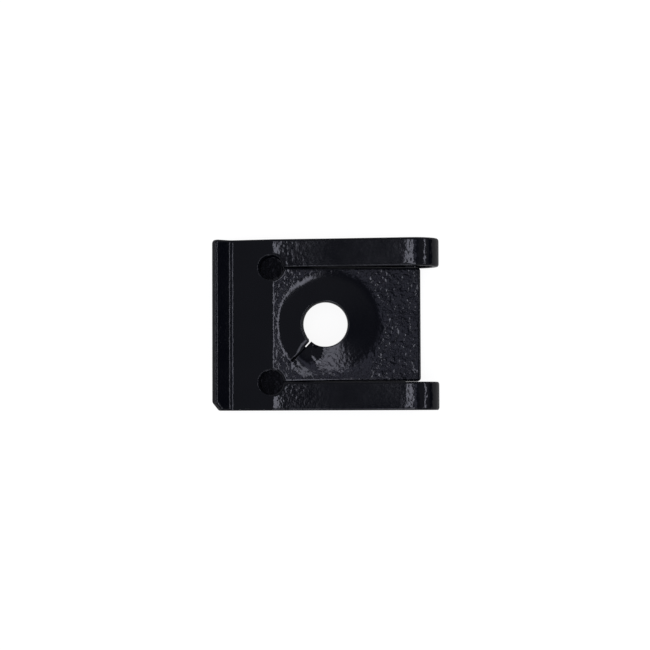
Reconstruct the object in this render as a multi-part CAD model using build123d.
from build123d import *
import os
from math import asin, atan2, cos, degrees, hypot, pi, radians, sin, sqrt, tan

# A U clip speed nut: one strip of hardened spring steel, folded into a U that pushes over the edge
# of a panel. The lower leg is flat, with a clearance hole. The upper leg pinches the panel beside
# its lead-in lip and climbs to a ridge. From there two outer straps climb on to the U bend, a
# little less steeply. Between them a tongue turns level, with one turn of screw thread in it.
#
# Frame: X runs from the lip to the bend, Y across the strip, Z up out of the lower leg.
# The origin is on the screw axis, in the underside of the lower leg.

# ---- Driving sizes, in millimetres and degrees ----
sheet = 0.6                # thickness of the steel
strip_width = 16.6         # across the clip
bend_reach = 11.0          # screw axis to the outside of the U bend
leg_reach = 10.0           # screw axis to the free end of the lower leg

bend_inside = 1.85         # inside radius of the U bend
fold_inside = 0.6          # inside radius of the ridge and pinch folds
knee_inside = 4.0          # inside radius of the soft knee in the straps
mouth_gap = 0.6            # free height under the pinch, less than the thinnest panel
ridge_clear = 1.65         # free height under the level tongue
pinch_reach = 9.05         # screw axis to the pinch line
ridge_reach = 4.95         # screw axis to the ridge, where the tongue turns level
knee_reach = 0.6           # screw axis to the knee, where the straps get steeper
knee_sag = 0.098           # how far the knee lies under the straight line from ridge to bend
lip_length = 1.95          # pinch line to the end of the lead-in lip
lip_angle = 40.0           # lead-in lip above the horizontal

tongue_width = 10.75       # tongue between the two lanced cuts
tongue_reach = 9.2         # screw axis to the free end of the tongue
lance_gap = 0.2            # each lanced cut, tongue to strap
relief_radius = 1.22       # round relief hole at the blind end of each lanced cut
relief_behind = 0.35       # centres of the relief holes, from the ridge towards the lip
window_land = 1.0          # flat of the lower leg between its window and the U bend

thread_radius = 2.125      # minor radius of the M5 thread that the rim forms
thread_pitch = 0.8         # rise of the rim in one turn, right-handed
rim_rise = 0.15            # lowest point of the rim above the tongue
cone_radius = 5.15         # base circle of the raised cone
cone_shift = 0.47          # centre of the base circle from the screw axis, towards the bend
slit_angle = 227.0         # direction of the radial slit, counter-clockwise from +X
slit_width = 0.18          # slit between the low and the high end of the rim
bore_stock = 0.1           # sheet left inside the thread radius, for the bore to trim
clearance_radius = 2.85    # screw clearance hole in the lower leg

edge_round = 0.2           # rounding that blanking leaves round the outside face
lip_round = 0.4            # plan radius of the lip's +Y corner
lip_chamfer = 0.8          # plan chamfer of the lip's -Y corner
leg_round = 0.8            # plan radius of the lower leg's free corners
window_round = 0.5         # plan radius of the corners of the lower leg's window
tongue_round = 0.35        # plan radius of the tongue's free corners

# ---- Derived places ----
bend_outside = bend_inside + sheet
bend_x = bend_reach - bend_outside                  # axis of the U bend
level_under = sheet + ridge_clear                   # underside of the tongue
level_top = level_under + sheet
between_legs = sheet + ridge_clear / 2              # a height that clears both legs
relief_x = -ridge_reach - relief_behind
slot_half = tongue_width / 2 + lance_gap            # half the space between the straps
over_all = 2 * bend_outside + level_top             # a height above the whole clip
near = sheet / 1000                                 # two points closer than this are one

slit_x, slit_y = cos(radians(slit_angle)), sin(radians(slit_angle))
slit_length = cone_shift * slit_x + sqrt(cone_radius**2 - (cone_shift * slit_y) ** 2)


class Fold:
    """One bend of the strip, seen from the side: its axis, inside radius and which way it turns."""

    def __init__(self, x, z, inside, turn):
        self.axis = (x, z)
        self.inside = inside
        self.turn = turn                            # +1 to the left of the travel, -1 to the right

    def reach(self, outside):
        """Signed radius of one face: positive where the fold's axis is left of the travel."""
        stretched = outside == (self.turn > 0)
        return self.turn * (self.inside + (sheet if stretched else 0))


def run_direction(a, b):
    """Angle of the straight run from fold a to fold b, tangent to both."""
    dx, dz = b.axis[0] - a.axis[0], b.axis[1] - a.axis[1]
    angle = atan2(dz, dx) - asin((b.reach(True) - a.reach(True)) / hypot(dx, dz))
    return angle % (2 * pi)


def touch(fold, direction, outside):
    """Point where a run of that direction touches one face of the fold."""
    r = fold.reach(outside)
    return fold.axis[0] + r * sin(direction), fold.axis[1] - r * cos(direction)


def face_line(folds, directions, first_run, last_run, outside):
    """One face of the strip, seen from the side, as straight runs joined by tangent arcs."""
    first, last = directions[0], directions[-1]
    x, z = touch(folds[0], first, outside)
    here = (x - first_run * cos(first), z - first_run * sin(first))
    edges = []
    for fold, come, leave in zip(folds, directions, directions[1:]):
        start, middle, end = (touch(fold, d, outside) for d in (come, (come + leave) / 2, leave))
        edges += [Line(here, start), ThreePointArc(start, middle, end)]
        here = end
    tip = (here[0] + last_run * cos(last), here[1] + last_run * sin(last))
    return edges + [Line(here, tip)]


bend = Fold(bend_x, bend_outside, bend_inside, +1)
ridge = Fold(-ridge_reach, level_under - fold_inside, fold_inside, +1)
pinch = Fold(-pinch_reach, 2 * sheet + mouth_gap + fold_inside, fold_inside, -1)
plate_direction = run_direction(ridge, pinch)
root_x = touch(ridge, plate_direction, True)[0] - sheet / 4     # in the plate, short of its fold


def knee_fold():
    """The knee, which dips under the straight line that would touch the ridge and the U bend."""
    straight = run_direction(bend, ridge)
    x, z = touch(ridge, straight, True)
    line_z = z + (-knee_reach - x) * tan(straight)
    return Fold(-knee_reach, line_z - (knee_inside - knee_sag) / cos(straight), knee_inside, -1)


def strip_lines():
    """The outside and the inside face of the strip, from the lower leg to the lead-in lip."""
    folds = [bend, knee_fold(), ridge, pinch]
    lip = radians(180 - lip_angle)
    runs = [run_direction(a, b) for a, b in zip(folds, folds[1:])]
    directions = [0.0] + runs + [lip]
    leg_run = leg_reach + bend_x
    lip_run = (pinch_reach + lip_length + touch(pinch, lip, False)[0]) / -cos(lip)
    return [face_line(folds, directions, leg_run, lip_run, outside) for outside in (True, False)]


def folded_sheet(outside, inside, width):
    """Sheet of that width between two face lines, symmetric about the clip's centre line."""
    ends = [Line(outside[0] @ 0, inside[0] @ 0), Line(outside[-1] @ 1, inside[-1] @ 1)]
    profile = Face(Wire(Curve() + outside + inside + ends))
    return extrude(Plane.XZ * profile, amount=width / 2, both=True)


def block(x0, x1, half_width, z0, z1):
    """Upright block across the clip, symmetric about its centre line."""
    middle = Pos((x0 + x1) / 2, 0, (z0 + z1) / 2)
    return middle * Box(x1 - x0, 2 * half_width, z1 - z0)


def pin(radius, x, y, z0, z1):
    """Upright round cutter from height z0 to height z1."""
    return Pos(x, y, (z0 + z1) / 2) * Cylinder(radius, z1 - z0)


def window():
    """Space between the straps, from the tongue's root round the U bend to the lower leg."""
    end = bend_reach + sheet
    upper = block(root_x, end, slot_half, between_legs, over_all)
    lower = block(bend_x - window_land, end, slot_half, -sheet, over_all)
    return upper + lower


def edge_at(solid, x, y, z):
    """The edge whose middle is nearest to a place."""
    place = Vector(x, y, z)
    return min(solid.edges(), key=lambda edge: (edge @ 0.5 - place).length)


def cut_corners(strip, outside, inside):
    """Plan radii and the chamfer at the free corners, square to the sheet."""
    side = strip_width / 2
    tip = (outside[-1] @ 1 + inside[-1] @ 1) / 2
    strip = fillet(edge_at(strip, tip.X, side, tip.Y), lip_round)
    strip = chamfer(edge_at(strip, tip.X, -side, tip.Y), lip_chamfer)
    for y in (-side, side):
        strip = fillet(edge_at(strip, -leg_reach, y, sheet / 2), leg_round)
    for y in (-slot_half, slot_half):
        strip = fillet(edge_at(strip, bend_x - window_land, y, sheet / 2), window_round)
    return strip


def outline_edges(solid, outside):
    """Edges round the outside face of the strip, without the fold lines that cross it."""
    skin = Wire(Curve() + outside)
    faces = []
    for face in solid.faces():
        middle = face.center()
        if skin.distance_to(Vector(middle.X, middle.Z, 0)) < near:
            faces.append(face)
    edges = [edge for face in faces for edge in face.edges()]
    return [edge for edge in edges if sum(edge.is_same(other) for other in edges) == 1]


def blanked_strip():
    """Folded strip with its window and its corners, rounded along its outside face."""
    outside, inside = strip_lines()
    strip = folded_sheet(outside, inside, strip_width) - window()
    strip = cut_corners(strip, outside, inside)
    cut = [edge for edge in outline_edges(strip, outside) if abs((edge @ 0.5).X - root_x) > near]
    return fillet(cut, edge_round)                  # the tongue joins on at the edge left out


def tongue_root():
    """The fold that turns the tongue level, with a little of the sheet to both sides of it."""
    lines = [face_line([ridge], [pi, plate_direction], sheet, sheet, outside) for outside in (True, False)]
    return folded_sheet(*lines, tongue_width)


def tongue():
    """Level tongue between the straps, from the ridge to its free end."""
    plate = block(-ridge_reach, tongue_reach, tongue_width / 2, level_under, level_top)
    plate = fillet(plate.edges().filter_by(Axis.Z).group_by(Axis.X)[-1], tongue_round)
    top_edges = plate.edges().group_by(Axis.Z)[-1].sort_by(Axis.X)
    return fillet(top_edges[1:], edge_round)        # all but the root edge at the ridge


def cone_quarter(i, base_start):
    """One quarter turn of the cone: a ruled sheet from its climbing rim to its level base."""
    rim_radius = thread_radius - bore_stock
    steeper = (cone_radius - rim_radius) / (cone_radius - thread_radius)
    climb = thread_pitch * steeper / 4
    low = level_under + rim_rise * steeper
    rim = Edge.make_helix(climb * 4, climb, rim_radius)
    rim = Pos(0, 0, low + i * climb) * Rot(0, 0, slit_angle + i * 90) * rim
    base = Edge.make_circle(cone_radius, start_angle=base_start, end_angle=base_start + 90)
    base = Pos(cone_shift, 0, level_under) * Rot(0, 0, i * 90) * base
    skin = Face.make_surface_from_curves(rim, base)
    return Solid.extrude(skin, Vector(0, 0, sheet))


def thread_cone():
    """Raised cone whose rim climbs one pitch in a turn, starting and ending at the slit."""
    base_start = degrees(atan2(slit_length * slit_y, slit_length * slit_x - cone_shift)) % 360
    quarters = [cone_quarter(i, base_start) for i in range(4)]
    return quarters[0].fuse(*quarters[1:])


def slit():
    """Radial slit from the bore to the cone's base circle."""
    bar = block(0, slit_length, slit_width / 2, between_legs, over_all)
    return Rot(0, 0, slit_angle) * bar


def spring_clip():
    """The whole clip: strip and tongue, then what is pressed and pierced into them."""
    clip = blanked_strip() + tongue_root() + tongue()
    for y in (-slot_half, slot_half):
        clip -= pin(relief_radius, relief_x, y, between_legs, over_all)
    clip -= pin(cone_radius, cone_shift, 0, between_legs, over_all)
    clip += thread_cone()
    clip -= pin(thread_radius, 0, 0, between_legs, over_all)
    clip -= slit()
    clip -= pin(clearance_radius, 0, 0, -sheet, between_legs)
    return clip


os.makedirs("parts", exist_ok=True)
clip = spring_clip()
export_step(clip, "parts/spring_clip.step")
print("spring_clip", round(clip.volume, 2), "mm3,", len(clip.faces()), "faces")
